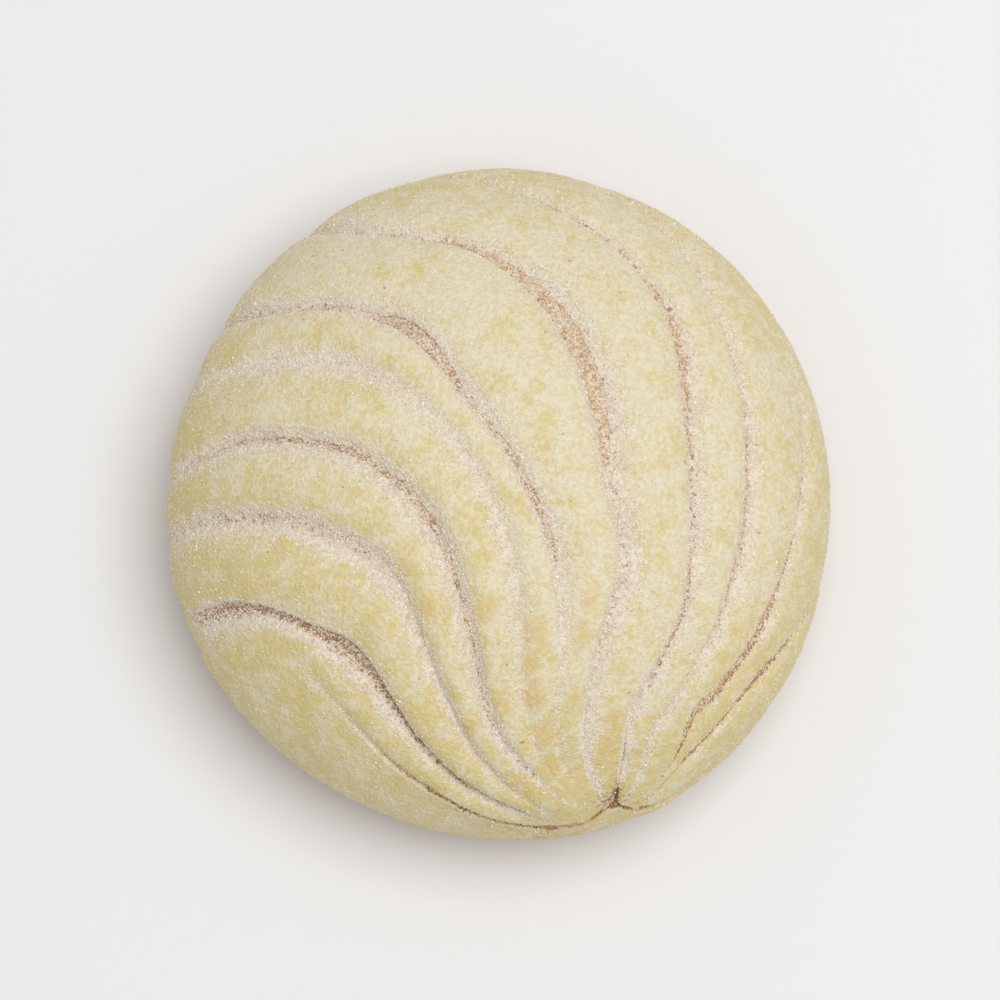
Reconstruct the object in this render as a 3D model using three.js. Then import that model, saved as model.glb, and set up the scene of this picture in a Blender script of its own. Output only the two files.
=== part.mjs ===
// A concha: a round sweet bun under a sugar paste that is cut like a scallop shell.
// Millimetres, +Z up. The bun rests on z = 0, and the hinge of the shell lies towards -Y.
import * as THREE from 'three';
import { mergeVertices } from 'three/addons/utils/BufferGeometryUtils.js';

// Driving dimensions of the bread
const BUN_RADIUS = 53;
const BUN_HEIGHT = 56;
const WAIST_HEIGHT = 21;
const FOOT_RADIUS = 41;
const BUN_SEGMENTS = 44;
const CROWN_RINGS = 13;
const FOOT_RINGS = 7;
// A hand-shaped bun isn't a true circle: each wave has a count, a share of the radius and a direction.
const PLAN_WAVES = [
  { count: 2, share: 0.009, towards: 101 },
  { count: 3, share: 0.008, towards: 68 },
  { count: 4, share: 0.006, towards: 24 },
];

// Driving dimensions of the sugar paste
const PASTE_THICKNESS = 2.9;
const PASTE_GAP = 0.5;
const PASTE_BELOW_WAIST = 7;
const EDGE_WAVE = 0.9;
const EDGE_WAVE_COUNT = 7;
const CUT_FLOOR = 1.3;
const CLOSED_FLOOR_WIDTH = 0.6;
// No slope of a cut takes more than this share of the way to the next cut.
const LARGEST_SHARE_OF_RIB = 0.42;
// A rib this wide swells fully. Down the bun's side only a share of the swelling is left.
const FULL_RIB_WIDTH = 9;
const SIDE_SWELL = 0.4;

// The hinge is a small star-shaped opening with three arms. Its place is given on the paste laid flat
// about the crown, and each arm by the direction it points to and how far it reaches past the rim.
const HINGE_FROM_CROWN = 58.7;
const HINGE_AZIMUTH = -70;
const HINGE_RIM = 1.0;
const HINGE_ARMS = [
  { towards: 90, reach: 3.4 },
  { towards: 217, reach: 4.2 },
  { towards: -26, reach: 3.4 },
];
const HINGE_ARM_SHARPNESS = 70;
// A knob of paste stands over the lowest cut, and the band below the hinge bulges. Both are placed from
// the hinge.
const SWELLINGS = [
  { alongX: -10, alongY: 1.5, radius: 8, height: 1.3 },
  { alongX: 9, alongY: -1.5, radius: 9, height: 0.9 },
  { alongX: -6, alongY: -6, radius: 9, height: 0.5 },
];

// Every cut runs from the hinge (station 0) to the paste's edge (station 1). Its bearings are degrees
// seen from the hinge, counter-clockwise from +X, one for each station. left and right are how far its
// slopes reach, from and to are the stations between which it is sunk, rib is how high the rib on its
// right side swells, and each open stretch is a slit that shows the bread: where it starts, where it
// ends and how wide it gapes.
const STATIONS = [0, 0.1, 0.2, 0.3, 0.42, 0.55, 0.68, 0.82, 1];
const CUTS = [
  { bearings: [220, 213, 206, 205, 174, 155, 160, 166, 172], left: 2.0, right: 1.6,
    from: 0, to: 0.6, rib: 0.5, open: [[0, 0.45, 0.8]] },
  { bearings: [208, 196, 187.5, 171.5, 149.5, 148, 151.5, 157, 162], left: 4.5, right: 1.6,
    from: 0.22, to: 0.86, rib: 0.8, open: [[0.24, 0.72, 1.5]] },
  { bearings: [196, 187, 168, 146, 133.5, 135.5, 141.5, 147.5, 155], left: 2.6, right: 2.3,
    from: 0.18, to: 1.0, rib: 0.8, open: [] },
  { bearings: [186, 160, 146, 129.5, 122.5, 125, 132, 141, 149.5], left: 2.3, right: 2.1,
    from: 0.1, to: 1.0, rib: 0.8, open: [[0.24, 0.8, 0.9]] },
  { bearings: [174, 150, 129, 115.5, 112.5, 115.5, 122, 131.5, 138.5], left: 4.0, right: 3.2,
    from: 0.05, to: 1.0, rib: 0.7, open: [] },
  { bearings: [161, 137.5, 113.5, 106, 107, 111, 115.5, 125, 133.5], left: 1.6, right: 3.2,
    from: 0.04, to: 1.15, rib: 0.7, open: [[0.32, 0.52, 1.7], [0.55, 0.7, 3.8]] },
  { bearings: [140, 116.5, 100.5, 91.5, 93.5, 96, 101.5, 113.5, 121], left: 1.6, right: 3.6,
    from: 0.02, to: 1.15, rib: 0.5, open: [[0.42, 0.78, 3.4]] },
  { bearings: [90, 88.5, 80.5, 75.5, 77, 81.5, 85.5, 98.5, 115], left: 1.5, right: 3.2,
    from: 0, to: 1.15, rib: 0.5, open: [[0, 0.1, 0.6], [0.2, 0.4, 0.8], [0.5, 0.82, 1.6]] },
  { bearings: [45, 68.5, 67.5, 64.5, 65, 69, 75.5, 83.5, 97], left: 1.4, right: 3.0,
    from: 0, to: 1.15, rib: 0.4, open: [[0.38, 0.64, 0.9]] },
  { bearings: [12, 22, 53.5, 52.5, 52, 54, 59, 65.5, 72], left: 1.4, right: 2.4,
    from: 0, to: 1.15, rib: 0.3, open: [[0.2, 0.58, 0.5]] },
  { bearings: [-8, 3, 32.5, 38, 41, 40.5, 39.5, 40, 50], left: 1.3, right: 1.8,
    from: 0, to: 1.05, rib: 0.3, open: [[0.1, 0.7, 0.6]] },
  { bearings: [-27, -24, -15, -4, 4, 10.5, 19, 24.5, 28], left: 1.2, right: 1.5,
    from: 0, to: 0.8, rib: 0, open: [[0, 0.42, 0.5]] },
];
// A cut sinks and fades over these shares of its length, and it is shallower up to the last station here.
const CUT_RUN_IN = 0.12;
const CUT_RUN_OUT = 0.3;
const HINGE_RELIEF = 0.5;
const FULL_RELIEF_STATION = 0.4;

// Rows of the paste's mesh: stations along the cuts, then how far the rounded lip's rows lie from the
// edge and what share of the full thickness they keep.
const MAIN_ROWS = 25;
const LIP_ROWS = [
  { fromEdge: 1.1, share: 0.8 },
  { fromEdge: 0.3, share: 0.5 },
  { fromEdge: 0, share: 0.24 },
];
const LIP_WIDTH = 2.4;
const ROW_CROWDING = 0.05;
const RIB_COLUMNS = [0.22, 0.5, 0.78];
const APRON_COLUMNS = 16;
const APRON_CROWDING = 0.12;

const { smoothstep, degToRad, lerp } = THREE.MathUtils;

// The bread's profile: one quarter ellipse from crown to waist, another from waist to the flat foot.
const crownCurve = new THREE.EllipseCurve(
  0, WAIST_HEIGHT, BUN_RADIUS, BUN_HEIGHT - WAIST_HEIGHT, Math.PI / 2, 0, true);
const footCurve = new THREE.EllipseCurve(
  FOOT_RADIUS, WAIST_HEIGHT, BUN_RADIUS - FOOT_RADIUS, WAIST_HEIGHT, 0, -Math.PI / 2, true);
const crownLength = crownCurve.getLength();
const footLength = footCurve.getLength();
const edgeArc = crownLength + PASTE_BELOW_WAIST;

function planScale(azimuth) {
  const wave = ({ count, share, towards }) => share * Math.cos(count * (azimuth - degToRad(towards)));
  return 1 + PLAN_WAVES.map(wave).reduce((sum, value) => sum + value, 0);
}

// A point over the bread: so far from the crown along the profile, in one direction, at a height.
function placeOnBread(arc, azimuth, height) {
  const onCrown = arc < crownLength;
  const curve = onCrown ? crownCurve : footCurve;
  const share = onCrown ? arc / crownLength : (arc - crownLength) / footLength;
  const point = curve.getPointAt(share);
  const tangent = curve.getTangentAt(share);
  const radius = (point.x - tangent.y * height) * planScale(azimuth);
  return new THREE.Vector3(
    radius * Math.cos(azimuth), radius * Math.sin(azimuth), point.y + tangent.x * height);
}

function makeBun() {
  const profile = [new THREE.Vector2(0, 0), new THREE.Vector2(FOOT_RADIUS / 2, 0)];
  for (let ring = FOOT_RINGS; ring > 0; ring -= 1) {
    profile.push(footCurve.getPointAt(ring / FOOT_RINGS));
  }
  for (let ring = CROWN_RINGS; ring >= 0; ring -= 1) {
    profile.push(crownCurve.getPointAt(ring / CROWN_RINGS));
  }
  profile.at(-1).x = 0;
  const geometry = new THREE.LatheGeometry(profile, BUN_SEGMENTS);
  geometry.rotateX(Math.PI / 2);
  const position = geometry.attributes.position;
  for (let i = 0; i < position.count; i += 1) {
    const scale = planScale(Math.atan2(position.getY(i), position.getX(i)));
    position.setXY(i, position.getX(i) * scale, position.getY(i) * scale);
  }
  return geometry;
}

// The paste laid flat about the crown: distances from the hinge to its own rim and to the paste's edge.
const hinge = new THREE.Vector2(HINGE_FROM_CROWN, 0).rotateAround(
  new THREE.Vector2(), degToRad(HINGE_AZIMUTH));

function hingeRim(bearing) {
  const arm = ({ towards, reach }) =>
    reach * Math.max(Math.cos(bearing - degToRad(towards)), 0) ** HINGE_ARM_SHARPNESS;
  return HINGE_ARMS.reduce((sum, each) => sum + arm(each), HINGE_RIM);
}

function edgeDistance(bearing) {
  const along = hinge.x * Math.cos(bearing) + hinge.y * Math.sin(bearing);
  const wave = EDGE_WAVE * Math.cos(EDGE_WAVE_COUNT * bearing);
  return Math.sqrt(along ** 2 - hinge.lengthSq() + edgeArc ** 2) - along + wave;
}

function distanceAt(bearing, row) {
  const edge = edgeDistance(bearing);
  if (row >= MAIN_ROWS) return edge - LIP_ROWS[row - MAIN_ROWS].fromEdge;
  const rim = hingeRim(bearing);
  return rim + stationOf(row) * (edge - LIP_WIDTH - rim);
}

// Rows stand closer together towards the hinge and where the paste turns down the bun's side.
function stationOf(row) {
  const share = Math.min(row / (MAIN_ROWS - 1), 1);
  return share - ROW_CROWDING * Math.sin(2 * Math.PI * share);
}

const bearingCurves = CUTS.map(({ bearings }) => new THREE.CubicInterpolant(STATIONS, bearings, 1));

function cutBearing(index, station) {
  return degToRad(bearingCurves[index].evaluate(station)[0]);
}

function openStretch(cut, station) {
  return cut.open.find(([start, end]) => station >= start && station <= end);
}

// The floor of a cut widens into a spindle where the paste has torn open.
function floorWidth(cut, station) {
  const stretch = openStretch(cut, station);
  if (!stretch) return CLOSED_FLOOR_WIDTH;
  const [start, end, width] = stretch;
  const middle = Math.sin(Math.PI * (station - start) / (end - start));
  return lerp(CLOSED_FLOOR_WIDTH, width, middle);
}

// The relief is shallow where the cuts crowd together at the hinge.
function relief(station) {
  return lerp(HINGE_RELIEF, 1, smoothstep(station, 0, FULL_RELIEF_STATION));
}

function cutDepth(cut, station) {
  const begins = smoothstep(station, cut.from - CUT_RUN_IN / 2, cut.from + CUT_RUN_IN / 2);
  const ends = 1 - smoothstep(station, cut.to - CUT_RUN_OUT, cut.to);
  return (PASTE_THICKNESS - CUT_FLOOR) * begins * ends * relief(station);
}

// One cut gives four columns: the lip and the floor on its left, the floor and the lip on its right.
// The steeper bank stays on the cutter's line, so a torn floor widens away from it.
function cutColumns(index, station, distance) {
  const cut = CUTS[index];
  const line = cutBearing(index, station);
  const gapTo = (other) => (other in CUTS
    ? Math.abs(cutBearing(other, station) - line) * distance : Infinity);
  const width = floorWidth(cut, station);
  const room = Math.min(1,
    LARGEST_SHARE_OF_RIB * gapTo(index - 1) / (cut.left + width),
    LARGEST_SHARE_OF_RIB * gapTo(index + 1) / (cut.right + width));
  const lean = Math.sign(cut.left - cut.right) * (width - CLOSED_FLOOR_WIDTH) / 2;
  const floor = PASTE_THICKNESS - cutDepth(cut, station) * room;
  const column = (offset, thickness) => ({ bearing: line + room * (lean + offset) / distance, thickness });
  return [
    column(width / 2 + cut.left, PASTE_THICKNESS),
    { ...column(width / 2, floor), slit: index },
    column(-width / 2, floor),
    column(-width / 2 - cut.right, PASTE_THICKNESS),
  ];
}

// The rib between two cuts swells like a pillow, less where it is narrow and down the bun's side.
function ribColumns(index, left, right, distance, station) {
  const width = (left.bearing - right.bearing) * distance;
  const side = lerp(1, SIDE_SWELL, smoothstep(station, 1 - CUT_RUN_OUT, 1));
  const swell = CUTS[index].rib * smoothstep(width, 0, FULL_RIB_WIDTH) * side * relief(station);
  return RIB_COLUMNS.map((share) => ({
    bearing: lerp(left.bearing, right.bearing, share),
    thickness: PASTE_THICKNESS + swell * Math.sqrt(1 - (2 * share - 1) ** 2),
  }));
}

// Below the hinge the paste is uncut, from the last cut round to the first one again.
function apronColumns(left, right) {
  const turn = left.bearing - (right.bearing - 2 * Math.PI);
  return Array.from({ length: APRON_COLUMNS }, (_, i) => {
    const even = (i + 1) / (APRON_COLUMNS + 1);
    const share = even - APRON_CROWDING * Math.sin(2 * Math.PI * even);
    return { bearing: left.bearing - share * turn, thickness: PASTE_THICKNESS };
  });
}

function rowColumns(row) {
  const station = stationOf(row);
  const cuts = CUTS.map((cut, index) => {
    const distance = distanceAt(cutBearing(index, station), row);
    return cutColumns(index, station, distance);
  });
  const columns = [];
  cuts.forEach((four, index) => {
    columns.push(...four);
    const next = cuts[index + 1];
    if (!next) return;
    const distance = distanceAt(four[3].bearing, row);
    columns.push(...ribColumns(index, four[3], next[0], distance, station));
  });
  columns.push(...apronColumns(cuts.at(-1)[3], cuts[0][0]));
  return columns;
}

function swelling(bearing, distance) {
  const x = distance * Math.cos(bearing);
  const y = distance * Math.sin(bearing);
  return SWELLINGS.reduce((sum, { alongX, alongY, radius, height }) => {
    const away = Math.hypot(x - alongX, y - alongY);
    return sum + height * (1 - smoothstep(away, 0, radius));
  }, 0);
}

function makePaste() {
  const rows = MAIN_ROWS + LIP_ROWS.length;
  const grid = Array.from({ length: rows }, (_, row) => rowColumns(row));
  const columns = grid[0].length;
  const points = [];
  grid.forEach((line, row) => line.forEach(({ bearing, thickness }) => {
    const distance = distanceAt(bearing, row);
    const flat = new THREE.Vector2(distance, 0).rotateAround(new THREE.Vector2(), bearing).add(hinge);
    const share = row < MAIN_ROWS ? 1 : LIP_ROWS[row - MAIN_ROWS].share;
    const full = thickness + swelling(bearing, distance);
    points.push(placeOnBread(flat.length(), flat.angle(), PASTE_GAP + full * share));
    points.push(placeOnBread(flat.length(), flat.angle(), PASTE_GAP));
  }));

  const corner = (row, column, side) => 2 * (row * columns + column % columns) + side;
  const isOpen = (row, column) => {
    if (row < 0 || row >= rows - 1) return true;
    const { slit } = grid[row][column % columns];
    if (slit === undefined) return false;
    const middle = (stationOf(row) + stationOf(row + 1)) / 2;
    return Boolean(openStretch(CUTS[slit], middle)) && row < MAIN_ROWS - 1;
  };
  const faces = [];
  const quad = (a, b, c, d) => faces.push(a, b, c, a, c, d);
  for (let row = 0; row < rows - 1; row += 1) {
    for (let column = 0; column < columns; column += 1) {
      if (isOpen(row, column)) continue;
      const around = [[row, column], [row, column + 1], [row + 1, column + 1], [row + 1, column]];
      const beyond = [[row - 1, column], [row, column + 1], [row + 1, column], [row, column + columns - 1]];
      const top = around.map(([r, c]) => corner(r, c, 0));
      const under = around.map(([r, c]) => corner(r, c, 1));
      quad(top[0], top[1], top[2], top[3]);
      quad(under[3], under[2], under[1], under[0]);
      beyond.forEach(([r, c], side) => {
        if (!isOpen(r, c)) return;
        const next = (side + 1) % 4;
        quad(top[next], top[side], under[side], under[next]);
      });
    }
  }
  const geometry = new THREE.BufferGeometry().setFromPoints(points);
  geometry.setIndex(faces);
  return mergeVertices(geometry);
}

function makeMesh(name, geometry, colour, roughness) {
  geometry.computeVertexNormals();
  const material = new THREE.MeshStandardMaterial({ color: colour, roughness, metalness: 0 });
  const mesh = new THREE.Mesh(geometry, material);
  mesh.name = name;
  return mesh;
}

const concha = new THREE.Group();
concha.add(makeMesh('bun', makeBun(), '#b9793c', 0.75));
concha.add(makeMesh('sugar_paste', makePaste(), '#ddcfa4', 0.9));

// The origin is the middle of the underside.
const middle = new THREE.Box3().setFromObject(concha).getCenter(new THREE.Vector3());
concha.children.forEach((mesh) => mesh.position.set(-middle.x, -middle.y, 0));

export default concha;
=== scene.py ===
# %% [markdown]
# # A concha
# A concha is a round sweet bun that bakes under a thin sugar paste. Before baking, a cutter presses the
# lines of a scallop shell into the paste. In the oven the bun swells, the lines open, and the bread shows
# in them. At the end the bun is rolled in sugar.
#
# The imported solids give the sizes. This lesson makes the surfaces that a camera sees: the paste with its
# ribs, the bread below it, the crumb in the open lines and the grains of sugar.

# %% Load the solids
import math
from contextlib import contextmanager
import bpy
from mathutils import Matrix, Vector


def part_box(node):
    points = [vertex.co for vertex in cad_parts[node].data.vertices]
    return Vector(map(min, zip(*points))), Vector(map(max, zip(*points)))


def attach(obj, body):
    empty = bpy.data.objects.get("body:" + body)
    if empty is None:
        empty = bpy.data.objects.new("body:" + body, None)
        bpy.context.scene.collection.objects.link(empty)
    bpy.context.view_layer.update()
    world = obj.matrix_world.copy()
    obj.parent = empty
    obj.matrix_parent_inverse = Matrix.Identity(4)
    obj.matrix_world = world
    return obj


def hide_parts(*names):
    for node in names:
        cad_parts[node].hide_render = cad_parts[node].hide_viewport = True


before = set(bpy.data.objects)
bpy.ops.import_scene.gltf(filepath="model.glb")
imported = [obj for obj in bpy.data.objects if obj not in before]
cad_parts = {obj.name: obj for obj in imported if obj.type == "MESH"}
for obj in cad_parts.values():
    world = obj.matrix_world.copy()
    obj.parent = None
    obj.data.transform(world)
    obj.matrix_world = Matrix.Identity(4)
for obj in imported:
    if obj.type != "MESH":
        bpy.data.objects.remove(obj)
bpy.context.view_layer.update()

from types import SimpleNamespace

import bpy
import numpy as np
from mathutils import Vector, noise

MM = 0.001
bun_low, bun_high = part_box("bun")
bpy.context.tool_settings.mesh_select_mode = (False, False, True)
print("nodes", sorted(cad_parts), "bun height", round(bun_high.z / MM, 1), "mm")

# %% [markdown]
# ## The bread's form
# A proofed bun is nearly round. Its profile is two quarter ellipses: one from the crown to the waist and a
# tighter one from the waist in to the flat foot. Every surface in this lesson lies on that form, so one
# function places a point by three numbers: how far it is from the crown along the profile, in which
# direction, and how high above the bread. Sizes are in millimetres until a point is placed.

# %% Place points over the bread
BUN_RADIUS = 53
BUN_HEIGHT = 56
WAIST_HEIGHT = 21
FOOT_RADIUS = 41
# waves round the plan, their share of the radius and the direction that they point to
PLAN_WAVES = [(2, 0.009, 101), (3, 0.008, 68), (4, 0.006, 24)]
PROFILE_STEPS = 600
PLAN_STEPS = 720

quarter = np.linspace(0, math.pi / 2, PROFILE_STEPS)
crown_height = BUN_HEIGHT - WAIST_HEIGHT
foot_reach = BUN_RADIUS - FOOT_RADIUS
below = quarter[1:]
profile_radius = np.append(BUN_RADIUS * np.sin(quarter), FOOT_RADIUS + foot_reach * np.cos(below))
upper_height = WAIST_HEIGHT + crown_height * np.cos(quarter)
profile_height = np.append(upper_height, WAIST_HEIGHT * (1 - np.sin(below)))
profile_arc = np.append(0, np.cumsum(np.hypot(np.diff(profile_radius), np.diff(profile_height))))
out_radius = np.append(crown_height * np.sin(quarter), WAIST_HEIGHT * np.cos(below))
out_height = np.append(BUN_RADIUS * np.cos(quarter), -foot_reach * np.sin(below))
out_length = np.hypot(out_radius, out_height)
crown_arc = profile_arc[len(quarter) - 1]


def plan_scale(azimuth):
    """How far the hand-shaped plan strays from a circle in each direction."""
    scale = 1
    for count, share, towards in PLAN_WAVES:
        scale = scale + share * np.cos(count * (azimuth - math.radians(towards)))
    return scale


def half_way(reaches):
    """Half way between the two ends of the plan along one axis, in metres."""
    return (np.ptp(reaches) / 2 + reaches.min()) * MM


turn = np.linspace(0, 2 * math.pi, PLAN_STEPS)
plan = BUN_RADIUS * plan_scale(turn)
middle_x = (bun_low.x + bun_high.x) / 2 - half_way(plan * np.cos(turn))
middle_y = (bun_low.y + bun_high.y) / 2 - half_way(plan * np.sin(turn))


def place(arc, azimuth, height):
    """Points in metres, shape (..., 3), at a height over the bread in millimetres."""
    lean = np.interp(arc, profile_arc, out_radius / out_length)
    lift = np.interp(arc, profile_arc, out_height / out_length)
    radius = (np.interp(arc, profile_arc, profile_radius) + lean * height) * plan_scale(azimuth)
    level = np.interp(arc, profile_arc, profile_height) + lift * height
    east = radius * np.cos(azimuth) * MM + middle_x
    north = radius * np.sin(azimuth) * MM + middle_y
    return np.stack(np.broadcast_arrays(east, north, level * MM), -1)


def over(x, y, height):
    """The same for points of the paste's flat disc, which has the crown in its middle."""
    return place(np.hypot(x, y), np.arctan2(y, x), height)


print("crown to waist", round(crown_arc, 1), "mm along the profile")

# %% [markdown]
# ## The cutter's lines
# Laid flat, the paste is a disc and all the lines run from one small opening, the hinge, to the edge of the
# disc. A line is a list of bearings seen from the hinge, one for each station on the way out, with a smooth
# curve through them. These are the numbers that the solids were made from. Each line has a left and a right
# bank: the short bank is steep and crisp, and the long one is a gentle slope. A second list says how each
# line is dressed: how much sugar lies in it, where the oven has browned it, where painted shade darkens
# it in the browning's colours, and what its bread looks like.

# %% The lines and their dressing
PASTE_THICKNESS = 2.9
PASTE_GAP = 0.5
PASTE_BELOW_WAIST = 7
CUT_FLOOR = 1.3
LIP_WIDTH = 2.4

STATIONS = np.array([0, 0.1, 0.2, 0.3, 0.42, 0.55, 0.68, 0.82, 1])
# bearings, left bank, right bank, sunk from and to, swelling of the rib to the right, open stretches
CUTS = [
    ([220, 213, 206, 205, 174, 155, 160, 166, 172], 2.0, 1.6, 0, 0.6, 0.5, [(0, 0.45, 0.8)]),
    ([208, 196, 187.5, 171.5, 149.5, 148, 151.5, 157, 162], 4.5, 1.6, 0.22, 0.86, 0.8, [(0.24, 0.72, 1.5)]),
    ([196, 187, 168, 146, 133.5, 135.5, 141.5, 147.5, 155], 2.6, 2.3, 0.18, 1.0, 0.8, []),
    ([186, 160, 146, 129.5, 122.5, 125, 132, 141, 149.5], 2.3, 2.1, 0.1, 1.0, 0.8, [(0.24, 0.8, 0.9)]),
    ([174, 150, 129, 115.5, 112.5, 115.5, 122, 131.5, 138.5], 4.0, 3.2, 0.05, 1.0, 0.7, []),
    ([161, 137.5, 113.5, 106, 107, 111, 115.5, 125, 133.5], 1.6, 3.2, 0.04, 1.15, 0.7,
     [(0.32, 0.52, 1.7), (0.55, 0.7, 3.8)]),
    ([140, 116.5, 100.5, 91.5, 93.5, 96, 101.5, 113.5, 121], 1.6, 3.6, 0.02, 1.15, 0.5,
     [(0.42, 0.78, 3.4)]),
    ([90, 88.5, 80.5, 75.5, 77, 81.5, 85.5, 98.5, 115], 1.5, 3.2, 0, 1.15, 0.5,
     [(0, 0.1, 0.6), (0.2, 0.4, 0.8), (0.5, 0.82, 1.6)]),
    ([45, 68.5, 67.5, 64.5, 65, 69, 75.5, 83.5, 97], 1.4, 3.0, 0, 1.15, 0.4, [(0.38, 0.64, 0.9)]),
    ([12, 22, 53.5, 52.5, 52, 54, 59, 65.5, 72], 1.4, 2.4, 0, 1.15, 0.3, [(0.2, 0.58, 0.5)]),
    ([-8, 3, 32.5, 38, 41, 40.5, 39.5, 40, 50], 1.3, 1.8, 0, 1.05, 0.3, [(0.1, 0.7, 0.6)]),
    ([-27, -24, -15, -4, 4, 10.5, 19, 24.5, 28], 1.2, 1.5, 0, 0.8, 0, [(0, 0.42, 0.5)]),
]
# sugar held near the hinge and further out, where the line is browned and how much, with painted shade at
# the foot of a crisp bank near the edge on some lines, then how sugary and how dark the bread is that shows
# in its open stretches
DRESSING = [
    (0.4, 0.8, -0.1, 0.5, 1.4, 0.25, 0.05),
    (0.7, 1.0, 0.2, 0.88, 1.1, 0.42, 0.6),
    (0.35, 1.0, 0.45, 0.95, 0.7, 0.5, 0.5),
    (0.8, 1.0, 0.1, 1.0, 0.65, 0.55, 0.55),
    (0.3, 0.7, 0.5, 0.75, 0.2, 0.5, 0.5),
    (0.35, 0.9, 0.3, 1.2, 0.6, 0.58, 0.45),
    (0.8, 0.85, 0.18, 1.2, 0.55, 0.52, 0.25),
    (0.8, 0.8, 0.13, 1.2, 0.7, 0.52, 0.35),
    (0.6, 0.7, 0.3, 1.1, 0.7, 0.55, 0.35),
    (0.5, 0.75, 0.12, 0.8, 1.2, 0.4, 0.25),
    (0.5, 0.6, 0.02, 0.75, 1.25, 0.3, 0.1),
    (0.4, 0.5, 0, 0.5, 1.6, 0.2, 0.1),
]
# stations between which painted shade, in the browning's colours, spreads up a line's gentle bank
# where its valley lies in shade, and how much
SHADE_SPREADS = {
    5: (0.66, 1.1, 0.8), 6: (0.38, 1.1, 0.7), 7: (0.66, 1.1, 0.9),
    9: (0.14, 0.55, 0.8), 10: (0.08, 0.62, 0.45), 11: (0, 0.4, 0.3),
}
print(len(CUTS), "lines,", sum(len(cut[6]) for cut in CUTS), "open stretches")

# %% [markdown]
# A few functions read these lists. They find a line's bearing at a station, how far a station is from the
# hinge, and how wide the line gapes there. The paste's edge and its torn edges are never straight, so sums of
# a few waves make them wander. The hinge itself is a small star with three arms.

# %% Read the lines
HINGE_FROM_CROWN = 58.7
HINGE_AZIMUTH = math.radians(-70)
HINGE_RIM = 1.0
# direction and reach of each arm of the hinge
HINGE_ARMS = [(90, 3.4), (217, 4.2), (-26, 3.4)]
HINGE_ARM_SHARPNESS = 70
NARROWEST_GAPE = 0.12
# waves along an edge, their reach in millimetres and their shift
EDGE_WAVES = [(7, 0.9, 0), (23, 0.35, 1), (47, 0.2, 2)]
TORN_WAVES = [(83, 0.12, 1), (191, 0.1, 2), (431, 0.06, 0)]
hinge_x = HINGE_FROM_CROWN * math.cos(HINGE_AZIMUTH)
hinge_y = HINGE_FROM_CROWN * math.sin(HINGE_AZIMUTH)
edge_arc = crown_arc + PASTE_BELOW_WAIST


def ease(value, start, end):
    """0 before start, 1 after end, smooth between."""
    share = np.clip((value - start) / (end - start), 0, 1)
    return share * share * (3 - 2 * share)


def line_bearing(index, station):
    """A smooth curve through a line's bearings, in radians."""
    bearings = np.radians(CUTS[index][0])
    wide = (bearings[2:] - bearings[:-2]) / (STATIONS[2:] - STATIONS[:-2])
    first = (bearings[1] - bearings[0]) / STATIONS[1]
    last = (bearings[-1] - bearings[-2]) / (STATIONS[-1] - STATIONS[-2])
    slope = np.concatenate([[first], wide, [last]])
    knot = np.clip(np.searchsorted(STATIONS, station) - 1, 0, len(STATIONS) - 2)
    span = STATIONS[knot + 1] - STATIONS[knot]
    t = (station - STATIONS[knot]) / span
    return (
        (2 * t**3 - 3 * t**2 + 1) * bearings[knot] + (t**3 - 2 * t**2 + t) * span * slope[knot]
        + (3 * t**2 - 2 * t**3) * bearings[knot + 1] + (t**3 - t**2) * span * slope[knot + 1]
    )


def edge_distance(bearing):
    """From the hinge to the paste's uneven edge."""
    along = hinge_x * np.cos(bearing) + hinge_y * np.sin(bearing)
    wave = sum(reach * np.cos(count * bearing + shift) for count, reach, shift in EDGE_WAVES)
    return np.sqrt(along**2 - HINGE_FROM_CROWN**2 + edge_arc**2) - along + wave


def hinge_rim(bearing):
    """From the hinge to the border of its opening, a small star with three arms."""
    rim = HINGE_RIM
    for towards, reach in HINGE_ARMS:
        ahead = np.maximum(np.cos(bearing - math.radians(towards)), 0)
        rim = rim + reach * ahead**HINGE_ARM_SHARPNESS
    return rim


def distance_at(bearing, station, from_edge):
    """From the hinge to a station, or to a row of the lip that lies so far inside the edge."""
    rim = hinge_rim(bearing)
    edge = edge_distance(bearing)
    main = rim + station * (edge - LIP_WIDTH - rim)
    return np.where(from_edge < LIP_WIDTH, edge - from_edge, main)


def relief(station):
    """The relief is shallow where the lines crowd together at the hinge."""
    return 0.5 + 0.5 * ease(station, 0, 0.4)


def opening(index, station):
    """How wide a line gapes: a spindle over each open stretch, and nothing elsewhere."""
    gape = np.zeros_like(station)
    for start, end, width in CUTS[index][6]:
        inside = (station >= start) & (station <= end)
        swell = np.sin(np.pi * np.clip((station - start) / (end - start), 0, 1)) ** 0.6
        gape = np.where(inside, np.maximum(width * swell, NARROWEST_GAPE), gape)
    return gape


def ragged(index, station, side):
    """Torn edges wander a little, each edge of each line in its own way."""
    phase = index * 1.7 + side * 2.3
    return sum(reach * np.sin(count * station + shift * phase) for count, reach, shift in TORN_WAVES)


print("from the hinge to the far edge", round(float(edge_distance(math.pi / 2))), "mm")

# %% [markdown]
# ## The paste's surface
# Ribs and lines both run out from the hinge, so the best mesh for the paste is a fan: its columns follow the
# lines, and its rows are rings around the hinge. The last rows crowd on the lip, where the paste rounds over
# to its lower edge.

# %% Rows of the fan and the form of a line
MAIN_ROWS = 140
LIP_ROWS = 7
LIP_THINNEST = 0.2
CLOSED_FLOOR_WIDTH = 0.6
LARGEST_SHARE_OF_RIB = 0.42
FLOOR_BESIDE_GAPE = 0.5
TORN_SAG = 0.15
FADE_OF_A_CUT = 0.3
BLUNT_FADE = 0.12
BLUNT_CUT = 1

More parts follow.
